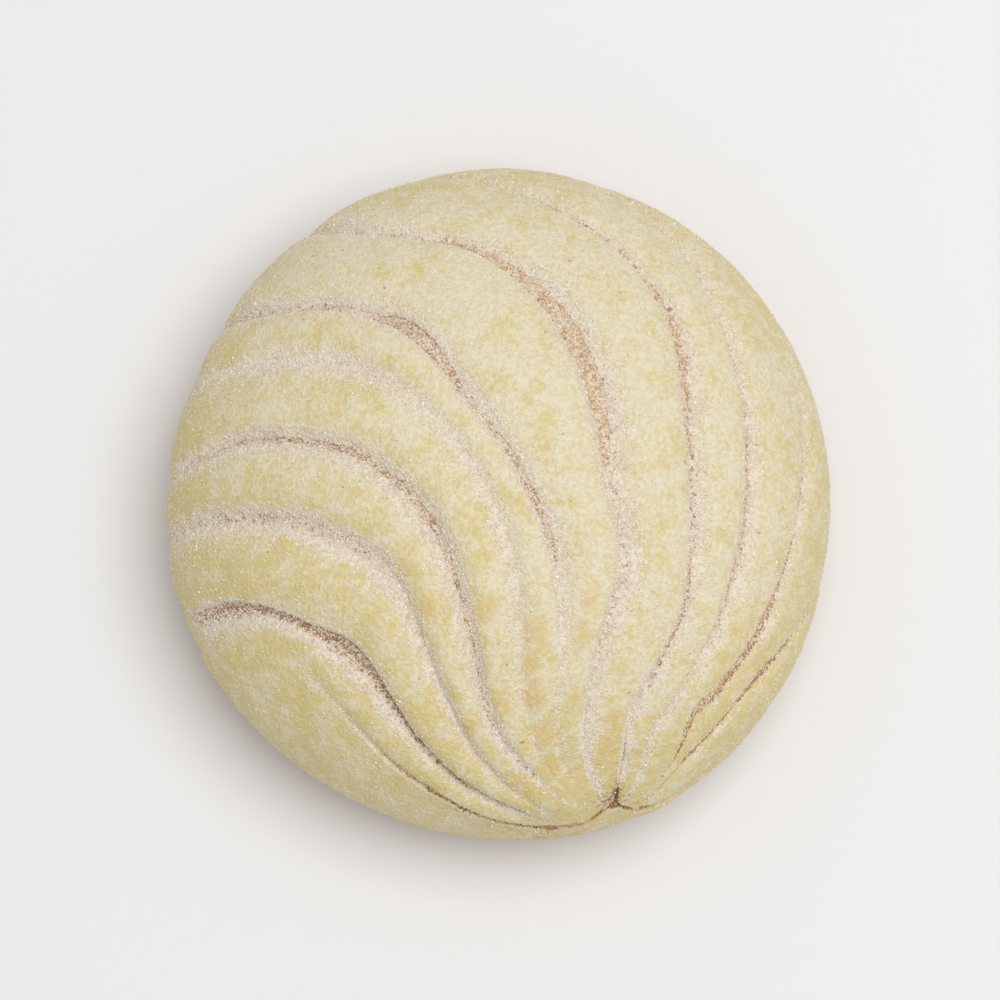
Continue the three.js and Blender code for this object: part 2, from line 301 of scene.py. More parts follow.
even = np.linspace(0, 1, MAIN_ROWS)
lip_turn = np.linspace(0, math.pi / 2, LIP_ROWS + 1)[1:]
row_station = np.append(even - 0.05 * np.sin(2 * math.pi * even), np.ones(LIP_ROWS))
row_from_edge = np.append(np.full(MAIN_ROWS, LIP_WIDTH), LIP_WIDTH * (1 - np.sin(lip_turn)))
row_from_edge[:MAIN_ROWS] += 1
row_share = np.append(np.ones(MAIN_ROWS), LIP_THINNEST + (1 - LIP_THINNEST) * np.cos(lip_turn))


def line_form(index, station, from_edge):
    """The shape and the dressing of one line at each station."""
    _, left, right, sunk_from, sunk_to, _, _ = CUTS[index]
    near, far, brown_from, brown_to, brown = DRESSING[index][:5]
    form = SimpleNamespace(line=line_bearing(index, station), gape=opening(index, station))
    form.distance = distance_at(form.line, station, from_edge)
    # the oven's browning; near the edge on some lines it is painted shade at the foot of a crisp bank
    form.browned = brown * ease(station, brown_from - 0.03, brown_from + 0.05)
    form.browned *= 1 - ease(station, brown_to - 0.1, brown_to)
    # painted shade of the valley, spreading up the gentle bank in the browning's colours
    start, end, much = SHADE_SPREADS.get(index, (0, 1, 0))
    form.spread = much * ease(station, start - 0.04, start + 0.04)
    form.spread *= 1 - ease(station, end - 0.06, end + 0.06)
    form.width = np.maximum(CLOSED_FLOOR_WIDTH + np.minimum(form.browned, 1), form.gape + FLOOR_BESIDE_GAPE)
    form.room = np.ones_like(station)
    for other, reach in ((index - 1, left), (index + 1, right)):
        if 0 <= other < len(CUTS):
            gap = np.abs(line_bearing(other, station) - form.line) * form.distance
            form.room = np.minimum(form.room, LARGEST_SHARE_OF_RIB * gap / (reach + form.width))
    fade = BLUNT_FADE if index == BLUNT_CUT else FADE_OF_A_CUT
    sunk = ease(station, sunk_from - 0.06, sunk_from + 0.06) * (1 - ease(station, sunk_to - fade, sunk_to))
    form.cover = (near + (far - near) * ease(station, 0.15, 0.42)) * sunk**0.4
    form.depth = (PASTE_THICKNESS - CUT_FLOOR) * sunk * relief(station) * form.room
    form.depth *= 0.5 + 0.5 * form.cover
    form.floor = PASTE_THICKNESS - form.depth
    form.torn = form.floor - TORN_SAG * np.minimum(form.gape, 1)
    form.lean = np.sign(left - right) * (form.width - CLOSED_FLOOR_WIDTH) / 2
    return form


print(len(row_station), "rows,", LIP_ROWS, "of them on the lip")

# %% [markdown]
# One line is five columns for each bank and four for its floor. The middle two of the floor are the torn
# edges. Sugar lies deepest on the floor and thins out up the banks, and so does the browning of the oven,
# with painted shade in its colours at the foot of some banks and up some gentle ones.

# %% Columns of a line
BANK_SHARES = [1.0, 0.78, 0.56, 0.36, 0.16]
CRISP_BELOW = 0.75
SUGAR_THINS = 0.85
# the gentle banks of the first lines are wide, and their two sides hold sugar differently
LAST_WIDE_BANK = 4
WIDE_BANK_THINS = {1: 0.7, -1: 0.95}
# browning at the foot of a bank and how fast it fades upwards: on a crisp bank, on a gentle one with what
# the painted shade of its valley adds to it, and on the left banks of the first two lines
CRISP_STAIN = (0.8, 2.4)
GENTLE_STAIN = (0.9, 4.5)
SHADE_SPREAD_STAIN = (0.6, -2.3)
LEFT_STAIN = {0: (1.1, 0.9), 1: (1.05, 1.9)}
FLOOR_STAIN = 0.9


def bank_rise(share, crisp):
    """From floor (0) to lip (1): a crisp bank climbs at once and rounds over, a gentle one glides."""
    return math.sin(share * math.pi / 2) if crisp else ease(share, -0.1, 1)


def bank_stain_and_shade(index, share, crisp, side, spread):
    """How browned a bank is at a share of its way up, with painted shade spread up a gentle bank."""
    if index in LEFT_STAIN and side > 0:
        foot, fade = LEFT_STAIN[index]
    elif crisp:
        foot, fade = CRISP_STAIN
    else:
        foot, fade = (gentle + more * spread for gentle, more in zip(GENTLE_STAIN, SHADE_SPREAD_STAIN))
    return np.maximum(0, foot - fade * share)


def line_columns(index):
    """Columns of one line, left lip to right lip: bearing, thickness, sugar, browning and painted shade, slit
    mark.
    """
    left, right = CUTS[index][1:3]
    form = line_form(index, row_station, row_from_edge)
    columns = []

    def column(offset, thickness, sugar, stain_and_shade, slit=False):
        bearing = form.line + form.room * (form.lean + offset) / form.distance
        columns.append((bearing, thickness, sugar * form.cover, stain_and_shade * form.browned, slit))

    def bank(share, crisp, side):
        plain = crisp or index > LAST_WIDE_BANK
        sugar = 1 - (SUGAR_THINS if plain else WIDE_BANK_THINS[side]) * share
        stain_and_shade = bank_stain_and_shade(index, share, crisp, side, form.spread)
        offset = side * (form.width / 2 + (left if side > 0 else right) * share)
        column(offset, form.floor + form.depth * bank_rise(share, crisp), sugar, stain_and_shade)

    for share in BANK_SHARES:
        bank(share, left < CRISP_BELOW * right, 1)
    frayed = np.minimum(form.gape, 0.8)
    wander = [ragged(index, row_station, edge) for edge in (1, 2, 3, 4)]
    column(form.width / 2 + wander[0] * 0.5, form.floor, sugar=1, stain_and_shade=FLOOR_STAIN)
    column(form.gape / 2 + wander[1] * frayed, form.torn, sugar=1, stain_and_shade=1, slit=True)
    column(-form.gape / 2 + wander[2] * frayed, form.torn, sugar=1, stain_and_shade=1)
    column(-form.width / 2 + wander[3] * 0.5, form.floor, sugar=1, stain_and_shade=FLOOR_STAIN)
    for share in reversed(BANK_SHARES):
        bank(share, right < CRISP_BELOW * left, -1)
    return columns


lines = [line_columns(index) for index in range(len(CUTS))]
print(len(lines), "lines of", len(lines[0]), "columns")

# %% [markdown]
# Between two lines the paste swells into a rib. Below the hinge it is uncut, and a plain apron closes the fan
# from the last line round to the first. Side by side, the columns make one table for each thing that a point
# has to know.

# %% Ribs, apron and the whole fan
RIB_SHARES = np.linspace(0.07, 0.93, 10)
WIDE_RIB = 9
APRON_COLUMNS = 44
HINGE_STAIN = 0.95
HINGE_STAIN_ENDS = 0.055


def rib_columns(index, left_lip, right_lip):
    """The rib to the right of a line swells like a pillow. Dust drifts onto it from the gentle banks."""
    width = (left_lip[0] - right_lip[0]) * distance_at(left_lip[0], row_station, row_from_edge)
    side = 1 - 0.6 * ease(row_station, 0.7, 1)
    swell = CUTS[index][5] * ease(width, 0, WIDE_RIB) * side * relief(row_station)
    for share in RIB_SHARES:
        pillow = (1 - (2 * share - 1) ** 2) ** 0.75
        bearing = left_lip[0] + share * (right_lip[0] - left_lip[0])
        blown = left_lip[2] * max(0, 1 - share / 0.6) ** 2
        blown = blown + right_lip[2] * max(0, (share - 0.4) / 0.6) ** 2
        yield bearing, PASTE_THICKNESS + swell * pillow, blown, 0 * width, False


def apron_columns(left_lip, right_lip):
    """The uncut paste below the hinge, from the last line round to the first again."""
    whole = left_lip[0] - (right_lip[0] - 2 * math.pi)
    for step in range(1, APRON_COLUMNS + 1):
        share = step / (APRON_COLUMNS + 1)
        share -= 0.12 * math.sin(2 * math.pi * share)
        bearing = left_lip[0] - share * whole
        yield bearing, np.full_like(whole, PASTE_THICKNESS), 0 * whole, 0 * whole, False


fan = []
for index, columns in enumerate(lines):
    fan += columns
    if index + 1 < len(lines):
        fan += rib_columns(index, columns[-1], lines[index + 1][0])
fan += apron_columns(lines[-1][-1], lines[0][0])
bearing, thickness, sugar, browned = (np.stack([column[k] for column in fan], 1) for k in range(4))
browned = np.maximum(browned, HINGE_STAIN * ease(row_station, HINGE_STAIN_ENDS, 0)[:, None])
slit_columns = [k for k, column in enumerate(fan) if column[4]]
distance = distance_at(bearing, row_station[:, None], row_from_edge[:, None])
flat_x = hinge_x + distance * np.cos(bearing)
flat_y = hinge_y + distance * np.sin(bearing)
print("fan of", bearing.shape[1], "columns and", bearing.shape[0], "rows")

# %% [markdown]
# Sugar paste is kneaded by hand, so no rib is quite smooth. Noise of two sizes gives its slow lumps, and finer
# noise its sandy skin. A knob of paste stands over the lowest line beside the hinge. The oven toasts the paste
# in spots, and dust drifts onto some parts of it and is rubbed off others.

# %% How uneven the paste is
# spots are given by east and north of the hinge, reach and amount
# the knob and the band below the hinge, in millimetres of height
SWELLINGS = [(-10, 1.5, 8, 1.3), (9, -1.5, 9, 0.9), (-6, -6, 9, 0.5)]
# spots that the oven has toasted, all by the same amount
TOASTED_SPOTS = [
    (-14.9, 33.3, 2.6), (-15.1, 30.3, 3.0), (-15.5, 25.8, 2.8), (-15.3, 21.4, 2.8), (-7.5, 31.8, 2.8),
    (-6.7, 37.1, 2.2), (-2.2, 12.9, 3.0), (-1.7, 17.4, 3.2), (4.8, 16.6, 2.6), (-31.6, 35.2, 2.4),
    (-22.8, 34.5, 2.6), (-12.5, 15.3, 3.2), (-11.5, 9.2, 2.8), (-17.2, 4.3, 3.4), (4.1, 12.3, 2.6),
    (-25.8, 15.7, 2.6), (-35.1, 41.2, 2.6), (-20, 19.5, 2.4),
]
TOAST_FEATHER = 1.2
# drifts of dust, less than 0 where it is rubbed off
DRIFTS = [
    (-54, 97, 24, 0.14), (-62, 62, 18, 0.12), (-1, 107, 18, 0.08), (13, 97, 18, 0.08), (39, 68, 14, 0.1),
    (-26, 84, 12, 0.12), (-11, 90, 12, 0.1), (-62, 20, 20, 0.1), (-48, 5, 18, 0.11), (-31, -4, 14, 0.12),
    (-50, 81, 10, -0.14), (-24, 48, 10, -0.2), (-32, 57, 9, -0.14), (-41, 70, 9, -0.12),
    (17, 25, 16, -0.14), (28, 28, 14, -0.1), (11, 13, 12, -0.12),
]


def rough(points, size, seed):
    """Noise from -1 to 1 at points in metres, with lumps of a size in millimetres."""
    away = Vector((seed * 17.3, seed * 5.1, seed * 9.7))
    flat = points.reshape(-1, 3) / (size * MM)
    return np.array([noise.noise(Vector(p) + away) for p in flat]).reshape(points.shape[:-1])


def add_up(spots, x, y):
    """The sum of some spots at points of the flat disc. Each fades out from its middle."""
    total = 0
    for east, north, reach, amount in spots:
        total = total + amount * (1 - ease(np.hypot(x - hinge_x - east, y - hinge_y - north), 0, reach))
    return total


def lumps(points):
    """The slow unevenness of pressed paste."""
    return 0.18 * rough(points, 7, 1) + 0.12 * rough(points, 2.2, 2)


full = thickness + add_up(SWELLINGS, flat_x, flat_y)
skin = over(flat_x, flat_y, PASTE_GAP + full)
sandy = (0.06 + 0.2 * sugar) * rough(skin, 1.1, 3)
height = PASTE_GAP + (full + lumps(skin) + sandy) * row_share[:, None]
drift = add_up(DRIFTS, flat_x, flat_y)
feathered = [(east, north, TOAST_FEATHER * reach, 1) for east, north, reach in TOASTED_SPOTS]
toast = add_up(feathered, flat_x, flat_y)
outer = over(flat_x, flat_y, height)
inner = over(flat_x, flat_y, np.full_like(height, PASTE_GAP))
print("paste up to", round(float(full.max()), 1), "mm thick")

# %% [markdown]
# A grid primitive with one vertex for each point of the fan is added flat, and every vertex is moved to its
# place over the bread. What a point knows about sugar, browning with its painted shade, and dust goes with it
# as an attribute.

# %% Lay the fan over the bread


def points_of(piece):
    """The piece's vertices, in metres."""
    values = np.empty(len(piece.data.vertices) * 3, np.float32)
    piece.data.vertices.foreach_get("co", values)
    return values.reshape(-1, 3)


def add_grid(name, rows, columns):
    """A flat grid whose points are found by row and column."""
    bpy.ops.mesh.primitive_grid_add(x_subdivisions=columns - 1, y_subdivisions=rows - 1, size=1)
    piece = bpy.context.object
    piece.name = piece.data.name = name
    spots = points_of(piece) + 0.5
    column = np.rint(spots[:, 0] * (columns - 1)).astype(int)
    row = np.rint(spots[:, 1] * (rows - 1)).astype(int)
    return piece, row, column


def lay(piece, points):
    """Moves every vertex to its place."""
    piece.data.vertices.foreach_set("co", np.ascontiguousarray(points, np.float32).ravel())
    piece.data.update()


def note(piece, name, values):
    """Keeps a number for each vertex, which a material or a later step can read."""
    kept = piece.data.attributes.new(name, "FLOAT", "POINT")
    kept.data.foreach_set("value", np.ascontiguousarray(values, np.float32).ravel())


rows, columns = bearing.shape
paste, row_of, column_of = add_grid("paste", rows, columns + 1)
column_of %= columns
lay(paste, outer[row_of, column_of])
known = {"sugar": sugar, "browned": browned, "toast": toast, "drift": drift, "along": distance}
known["station"] = np.broadcast_to(row_station[:, None], bearing.shape)
known |= {f"inner_{axis}": inner[:, :, axis] for axis in range(3)}
for name, values in known.items():
    note(paste, name, values[row_of, column_of])
print("paste laid over the bread,", len(paste.data.polygons), "faces")

# %% [markdown]
# The open stretches are real slits. Their faces are picked by row and column and deleted, the two ends of
# the grid are welded, and the sheet gets its thickness. A Solidify modifier copies the sheet inwards and
# closes every border with a wall. The copy is then drawn down onto the bread, because paste is thick on the
# ribs and thin in the lines.

# %% Open the slits and give the paste its thickness
slit_of = {column: index for index, column in enumerate(slit_columns)}
open_at = [opening(index, row_station) > 0 for index in range(len(CUTS))]


def activate(piece):
    """Makes one object the only selected one, so that operators act on it alone."""
    bpy.ops.object.select_all(action="DESELECT")
    piece.select_set(True)
    bpy.context.view_layer.objects.active = piece


@contextmanager
def edit_mode():
    """Edit mode for the lines inside, and object mode again after them."""
    bpy.ops.object.mode_set(mode="EDIT")
    yield
    bpy.ops.object.mode_set(mode="OBJECT")


def thicken(piece, thickness):
    """Gives a sheet its thickness inwards, in millimetres, and a wall along every border."""
    with edit_mode():
        bpy.ops.mesh.select_all(action="SELECT")
        bpy.ops.mesh.normals_make_consistent(inside=False)
    wall = piece.modifiers.new("wall", "SOLIDIFY")
    wall.thickness = thickness * MM
    wall.offset = -1
    bpy.ops.object.modifier_apply(modifier="wall")


def is_slit(face):
    """A face of the slit's own column whose two rows both lie in an open stretch."""
    rows_here = [row_of[v] for v in face.vertices]
    columns_here = {column_of[v] for v in face.vertices}
    start = min(columns_here)
    if start not in slit_of or columns_here != {start, start + 1}:
        return False
    return all(open_at[slit_of[start]][r] for r in rows_here) and max(rows_here) < MAIN_ROWS - 1


activate(paste)
for face in paste.data.polygons:
    face.select = bool(is_slit(face))
with edit_mode():
    bpy.ops.mesh.delete(type="FACE")
    bpy.ops.mesh.select_all(action="SELECT")
    bpy.ops.mesh.remove_doubles(threshold=1e-7)
skin_points = len(paste.data.vertices)
thicken(paste, 1)


def numbers(piece, name):
    """A number for each vertex, read back."""
    values = np.empty(len(piece.data.vertices), np.float32)
    piece.data.attributes[name].data.foreach_get("value", values)
    return values


points = points_of(paste)
drawn = np.stack([numbers(paste, f"inner_{axis}") for axis in range(3)], 1)
points[skin_points:] = drawn[skin_points:]
lay(paste, points)
bpy.ops.object.shade_smooth_by_angle(angle=math.radians(50))
print("paste of", len(paste.data.polygons), "faces, closed all round")

# %% [markdown]
# ## The crumb in the open lines
# Where the paste tears, the bread swells up into the gap. Each open stretch gets a narrow strip that reaches
# under both torn edges and lies nearly level with them, a little higher where the gap is wide. The narrowest
# lines show only a hair of bread, so it stands a little above their edges. At the hinge the cracks meet in a
# shallow pit with three grooves. All of it is one piece.

# %% Strips of torn bread
STRIP_COLUMNS = 11
STRIP_STEP = 0.5
STRIP_TUCK = 0.9
STRIP_DROP = 0.7
STRIP_LEVEL = -0.1
NARROW_STRIP_LEVEL = 0.14
NARROW_LINES = (0, 9, 10, 11)
# rough length of a line, which gives the number of steps along a strip
LINE_LENGTH = 110
PIT_LEVEL = 2.2
GROOVE_DEPTH = 0.5
# the grooves meet so far north of the hinge, and run so far east and north from there
GROOVES_MEET = 0.2
GROOVES = [(-0.2, 4.8), (-4.4, -3.2), (5.2, -2.7)]


def crumb(name, x, y, lift, shown, sugared, dark):
    """A rough sheet of bread over points of the flat disc."""
    there = over(x, y, lift)
    lift = lift + add_up(SWELLINGS, x, y) + lumps(there)
    lift = lift + 0.1 * rough(there, 1.1, 4) + 0.07 * rough(there, 0.5, 5)
    piece, row, column = add_grid(name, *lift.shape)
    lay(piece, over(x, y, lift)[row, column])
    for kind, values in (("shown", shown), ("sugared", sugared), ("dark", dark)):
        note(piece, kind, np.broadcast_to(values, lift.shape)[row, column])
    return piece


def torn_strip(index, start, end):
    """A crumbly strip along one open stretch."""
    length = (end - start) * LINE_LENGTH
    station = np.linspace(max(start - 0.01, 0), end + 0.01, max(8, int(length / STRIP_STEP)))[:, None]
    form = line_form(index, station, np.full_like(station, LIP_WIDTH + 1))
    half = form.gape / 2
    offset = np.linspace(-1, 1, STRIP_COLUMNS) * (half + STRIP_TUCK)
    turned = form.line + form.room / form.distance * (form.lean + offset)
    x = hinge_x + form.distance * np.cos(turned)
    y = hinge_y + form.distance * np.sin(turned)
    beyond = np.abs(offset) - half
    crown = 0.1 * form.gape * (1 - np.minimum(np.abs(offset) / (half + 0.01), 1) ** 2)
    above = NARROW_STRIP_LEVEL if index in NARROW_LINES else STRIP_LEVEL
    lift = PASTE_GAP + form.torn + above + crown - STRIP_DROP * ease(beyond, 0, STRIP_TUCK)
    return crumb(f"strip_{index}_{start}", x, y, lift, beyond < 0.2, *DRESSING[index][5:])


def hinge_pit():
    """The bread in the hinge, a shallow pit with grooves where the cracks meet."""
    x, y = np.meshgrid(np.linspace(-7, 8, 61), np.linspace(-5.5, 7, 51))
    up = y - GROOVES_MEET
    away = np.full_like(x, 9.0)
    for east, north in GROOVES:
        share = np.clip((x * east + up * north) / (east**2 + north**2), 0, 1)
        away = np.minimum(away, np.hypot(x - share * east, up - share * north) + 0.5 * share)
    groove = 1 - ease(away, 0.2, 1.3)
    lift = PASTE_GAP + PIT_LEVEL - GROOVE_DEPTH * groove
    return crumb("strip_hinge", x + hinge_x, y + hinge_y, lift, 1, 0.3 - 0.15 * groove, 0.6 + 0.6 * groove)


strips = [torn_strip(index, *stretch[:2]) for index, cut in enumerate(CUTS) for stretch in cut[6]]
strips.append(hinge_pit())
activate(strips[0])
for strip in strips:
    strip.select_set(True)
bpy.ops.object.join()
torn_bread = bpy.context.object
torn_bread.name = torn_bread.data.name = "torn_bread"
thicken(torn_bread, 1.6)
bpy.ops.object.shade_smooth()
print("torn bread of", len(torn_bread.data.polygons), "faces")

# %% [markdown]
# ## The bun
# The bun itself shows in a band below the paste and through the slits. It starts as a ball whose rings are
# pressed onto the bread's profile. The lower rings close the flat foot. Slow noise makes the crust uneven,
# and it dies out towards the foot so that the bun still sits flat.

# %% Press a ball into a bun
BUN_SEGMENTS = 220
BUN_RINGS = 110
# share of the ball's rings that make the side, the rest make the foot
SIDE_SHARE = 0.86
# size, height and seed of the crust's noises, and how far the whole crust sits in
CRUST_NOISES = [(16, 0.35, 6), (5, 0.14, 7), (1.6, 0.05, 8)]
CRUST_INSET = 0.12

bpy.ops.mesh.primitive_uv_sphere_add(segments=BUN_SEGMENTS, ring_count=BUN_RINGS, radius=1)
bread = bpy.context.object
bread.name = bread.data.name = "bread"
ball = points_of(bread)
ball_turn = np.arctan2(ball[:, 1], ball[:, 0])
ball_down = np.arccos(np.clip(ball[:, 2], -1, 1)) / math.pi
side_arc = np.clip(ball_down / SIDE_SHARE, 0, 1) * profile_arc[-1]
side = place(side_arc, ball_turn, 0 * side_arc)
above_foot = ease(side[:, 2], 0.5 * MM, 9 * MM)
uneven = sum(rise * rough(side, size, seed) for size, rise, seed in CRUST_NOISES)
crust = above_foot * (uneven - CRUST_INSET)
bun_points = place(side_arc, ball_turn, crust)
foot = np.clip((1 - ball_down) / (1 - SIDE_SHARE), 0, 1)[:, None]
foot_middle = np.array([middle_x, middle_y, 0])
drawn_in = foot_middle + (bun_points - foot_middle) * foot
bun_points = np.where(ball_down[:, None] > SIDE_SHARE, drawn_in, bun_points)
bun_points[:, 2] = np.maximum(bun_points[:, 2], 0)
lay(bread, bun_points)
activate(bread)
bpy.ops.object.shade_smooth_by_angle(angle=math.radians(60))
print("bun of", len(bread.data.polygons), "faces")

# %% [markdown]
# ## Sugar
# The bun is rolled in fine granulated sugar while its skin is moist. Whole grains are small blocks and broken
# ones are chips, 0.16 to 0.44 mm in size. A block and a chip are modelled once each and then copied with
# their own size, turn and place. A real grain glints from one flat face at a time, so each has real faces.

# %% Model a block and a chip


def take_shape(piece):
    """The points and faces of a small model, which is then put away."""
    shape = points_of(piece).astype(float)
    faces = [list(face.vertices) for face in piece.data.polygons]
    bpy.data.objects.remove(piece)
    return shape, np.array(faces)


def squeeze(*shares):
    """Scales the selected faces of the small model."""
    with edit_mode():
        bpy.ops.transform.resize(value=shares)


def model_block():
    """A cube drawn out to a brick, with one end pinched."""
    bpy.ops.mesh.primitive_cube_add(size=1)
    block = bpy.context.object
    squeeze(1, 0.8, 0.66)
    for face in block.data.polygons:
        face.select = face.normal.x > 0.5
    squeeze(1, 0.72, 0.8)
    return take_shape(block)


def model_chip():
    """A broken corner of a block: a cone with three sides, pushed over."""
    bpy.ops.mesh.primitive_cone_add(vertices=3, radius1=0.62, depth=0.9)
    chip = bpy.context.object
    squeeze(1, 0.8, 0.9)
    return take_shape(chip)


BLOCK = model_block()
CHIP = model_chip()
print("a block has", len(BLOCK[1]), "faces and a chip", len(CHIP[1]))

# %% [markdown]
# Most grains stay in the lines, where they are held. The ribs keep a sandy coat of smaller chips in loose
# clusters, fewer near the hinge, and browned paste keeps hardly any, nor do the places of painted shade. The
# places are drawn with a fixed seed, by area and by how much sugar each part of the surface holds.

# %% Scatter the grains
draw = np.random.default_rng(12)
# shares of the grains that are milky, dull and bright
SHARES_OF_TINTS = [0.55, 0.35, 0.1]
# how far a grain's middle stands off the surface, in its own size
SIT_IN_PASTE = 0.05
SIT_ON_CRUMB = 0.15


def corners(faces):
    """The four corners of the quads among some faces, as point indices."""
    return np.array([face.vertices[:] for face in faces if len(face.vertices) == 4])


def scatter(piece, quads, hold, count):
    """Places and outward directions of so many grains, by area and by how much each quad holds."""
    here = points_of(piece).astype(float)
    a, b, c, d = (here[quads[:, k]] for k in range(4))
    slope = np.cross(c - a, d - b)
    area = np.linalg.norm(slope, axis=1) / 2
    weight = area * hold
    pick = draw.choice(len(quads), size=count, p=weight / weight.sum())
    u, v = draw.random((2, count, 1))
    spot = (a[pick] * (1 - u) + b[pick] * u) * (1 - v) + (d[pick] * (1 - u) + c[pick] * u) * v
    out = slope[pick] / (2 * area[pick, None] + 1e-18)
    return spot, out


def turns(count):
    """Random turns, as rotation matrices."""
    q = draw.normal(size=(count, 4))
    q /= np.linalg.norm(q, axis=1)[:, None]
    w, axis = q[:, 0, None, None], q[:, 1:]
    about = 2 * w * np.cross(np.eye(3), axis[:, None, :])
    return (2 * w**2 - 1) * np.eye(3) + 2 * axis[:, :, None] * axis[:, None, :] + about


def grains(name, model, places, sizes, sit):
    """One piece of loose grains, from the smallest size to the largest."""
    spot, out = places
    count = len(spot)
    size = draw.uniform(*sizes, count) * MM
    middle = spot + out * (size * sit)[:, None]
    shape, faces = model
    turned = np.einsum("nij,vj->nvi", turns(count), shape)
    points = turned * size[:, None, None] + middle[:, None, :]
    kind = np.repeat(draw.choice(len(SHARES_OF_TINTS), size=count, p=SHARES_OF_TINTS), len(faces))
    faces = (faces[None] + np.arange(count)[:, None, None] * len(shape)).reshape(-1, faces.shape[1])
    mesh = bpy.data.meshes.new(name)
    mesh.from_pydata(points.reshape(-1, 3), [], faces)
    mesh.polygons.foreach_set("material_index", kind.astype(np.int32))
    piece = bpy.data.objects.new(name, mesh)
    bpy.context.scene.collection.objects.link(piece)
    print(name, count, "grains,", len(faces) * (faces.shape[1] - 2), "triangles")
    return piece


def strew(name, model, hold, count, sizes):
    """Grains over the paste's skin, where they sink in."""
    return grains(name, model, scatter(paste, top, hold, count), sizes, SIT_IN_PASTE)


top = corners(face for face in paste.data.polygons if max(face.vertices) < skin_points)
held = numbers(paste, "sugar")[top].mean(1)
bare = np.clip(1 - 0.75 * numbers(paste, "browned")[top].mean(1), 0.02, 1)
middles = points_of(paste)[top].mean(1).astype(float)
drifts = np.clip(1 + 1.3 * rough(middles, 2.6, 9) + 1.4 * rough(middles, 1.2, 10), 0.05, 3)
calm = 0.45 + 0.55 * ease(numbers(paste, "station")[top].mean(1), 0.05, 0.3)
clusters = calm * np.clip(0.6 + 2.2 * rough(middles, 2.5, 9) + 1.4 * rough(middles, 1.1, 10), 0.06, 3)
in_lines = [
    strew("sugar_in_lines", BLOCK, held**1.6 * drifts * bare, 15000, (0.24, 0.44)),
    strew("sugar_in_lines_fine", CHIP, held**1.4 * drifts * bare, 44000, (0.18, 0.34)),
]
on_ribs = [
    strew("sugar_on_ribs", CHIP, (0.35 + 0.65 * held) * clusters * bare, 48000, (0.16, 0.32)),
    strew("sugar_on_ribs_large", BLOCK, (0.3 + 0.7 * held) * clusters * bare, 6000, (0.22, 0.4)),
]
strip_quads = corners(face for face in torn_bread.data.polygons if face.normal.z > 0.05)
hold = (numbers(torn_bread, "shown") * numbers(torn_bread, "sugared"))[strip_quads].mean(1)
crumb_places = scatter(torn_bread, strip_quads, hold, 14000)
on_crumb = grains("sugar_on_crumb", CHIP, crumb_places, (0.18, 0.34), SIT_ON_CRUMB)

# %% [markdown]
# ## Writing finishes
# A finish is a sheet of shader nodes. Two small helpers keep it readable. A wire is one socket that can stand
# in a sum, so that a mask is written as ordinary arithmetic. A sheet adds any node by its type, its
# settings and what its sockets get.

# %% Helpers for finishes


class Wire:
    """A socket that can be used in sums. Each sum adds a Math node."""

    def __init__(self, sheet, socket):
        self.sheet = sheet
        self.socket = socket

    def maths(self, operation, first, second):
        return self.sheet.node("ShaderNodeMath", {"operation": operation}, {0: first, 1: second})

    def __add__(self, other):
        return self.maths("ADD", self, other)

    __radd__ = __add__

    def __mul__(self, other):
        return self.maths("MULTIPLY", self, other)

    __rmul__ = __mul__

    def __sub__(self, other):
        return self.maths("SUBTRACT", self, other)

    def __rsub__(self, other):
        return self.maths("SUBTRACT", other, self)


class Sheet:
    """One material's nodes around its Principled shader."""

    def __init__(self, name):
        self.material = bpy.data.materials.new(name)
        self.material.use_nodes = True
        self.tree = self.material.node_tree
        self.shader = self.tree.nodes["Principled BSDF"]

    def feed(self, socket, value):
        if isinstance(value, Wire):
            self.tree.links.new(value.socket, socket)
        else:
            socket.default_value = value

    def node(self, kind, settings=None, sockets=None, out=0):
        made = self.tree.nodes.new(kind)
        for name, value in (settings or {}).items():
            setattr(made, name, value)
        for name, value in (sockets or {}).items():
            self.feed(made.inputs[name], value)
        return Wire(self, made.outputs[out])

    def attribute(self, name):
        return self.node("ShaderNodeAttribute", {"attribute_name": name}, out="Fac")

    def coordinates(self):
        return self.node("ShaderNodeTexCoord", out="Object")

    def axis(self, vector, name):
        """One coordinate of a place, in millimetres."""
        return self.node("ShaderNodeSeparateXYZ", None, {"Vector": vector}, out=name) * (1 / MM)

    def noise(self, vector, size, detail=2.0):
        """Noise from 0 to 1 with lumps of a size in millimetres."""
        sockets = {"Vector": vector, "Scale": 1 / (size * MM), "Detail": detail}
        return self.node("ShaderNodeTexNoise", None, sockets)

    def between(self, value, low, high):
        """0 below low and 1 above high."""
        sockets = {"Value": value, "From Min": low, "From Max": high}
        return self.node("ShaderNodeMapRange", {"interpolation_type": "SMOOTHSTEP"}, sockets)

    def mix(self, share, first, second):
        """From the first colour to the second."""
        return self.node("ShaderNodeMix", {"data_type": "RGBA"}, {0: share, 6: first, 7: second}, out=2)

    def set(self, **values):
        for name, value in values.items():
            self.feed(self.shader.inputs[name.replace("_", " ")], value)

    def bump(self, height, strength, distance):
        sockets = {"Height": height, "Strength": strength, "Distance": distance * MM}
        self.feed(self.shader.inputs["Normal"], self.node("ShaderNodeBump", None, sockets))


def colour(red, green, blue):
    """A colour as the eye reads it, 0 to 255, turned into the light that a shader works with."""
    shares = [v / 255 for v in (red, green, blue)]
    return (*[s / 12.92 if s <= 0.04045 else ((s + 0.055) / 1.055) ** 2.4 for s in shares], 1)


def dress(piece, sheets):
    """Gives a piece its finishes, and lets it ride on the one body."""
    for sheet in sheets:
        piece.data.materials.append(sheet.material)
    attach(piece, "root")
    print(piece.name, "wears", ", ".join(sheet.material.name for sheet in sheets))


print("helpers ready")
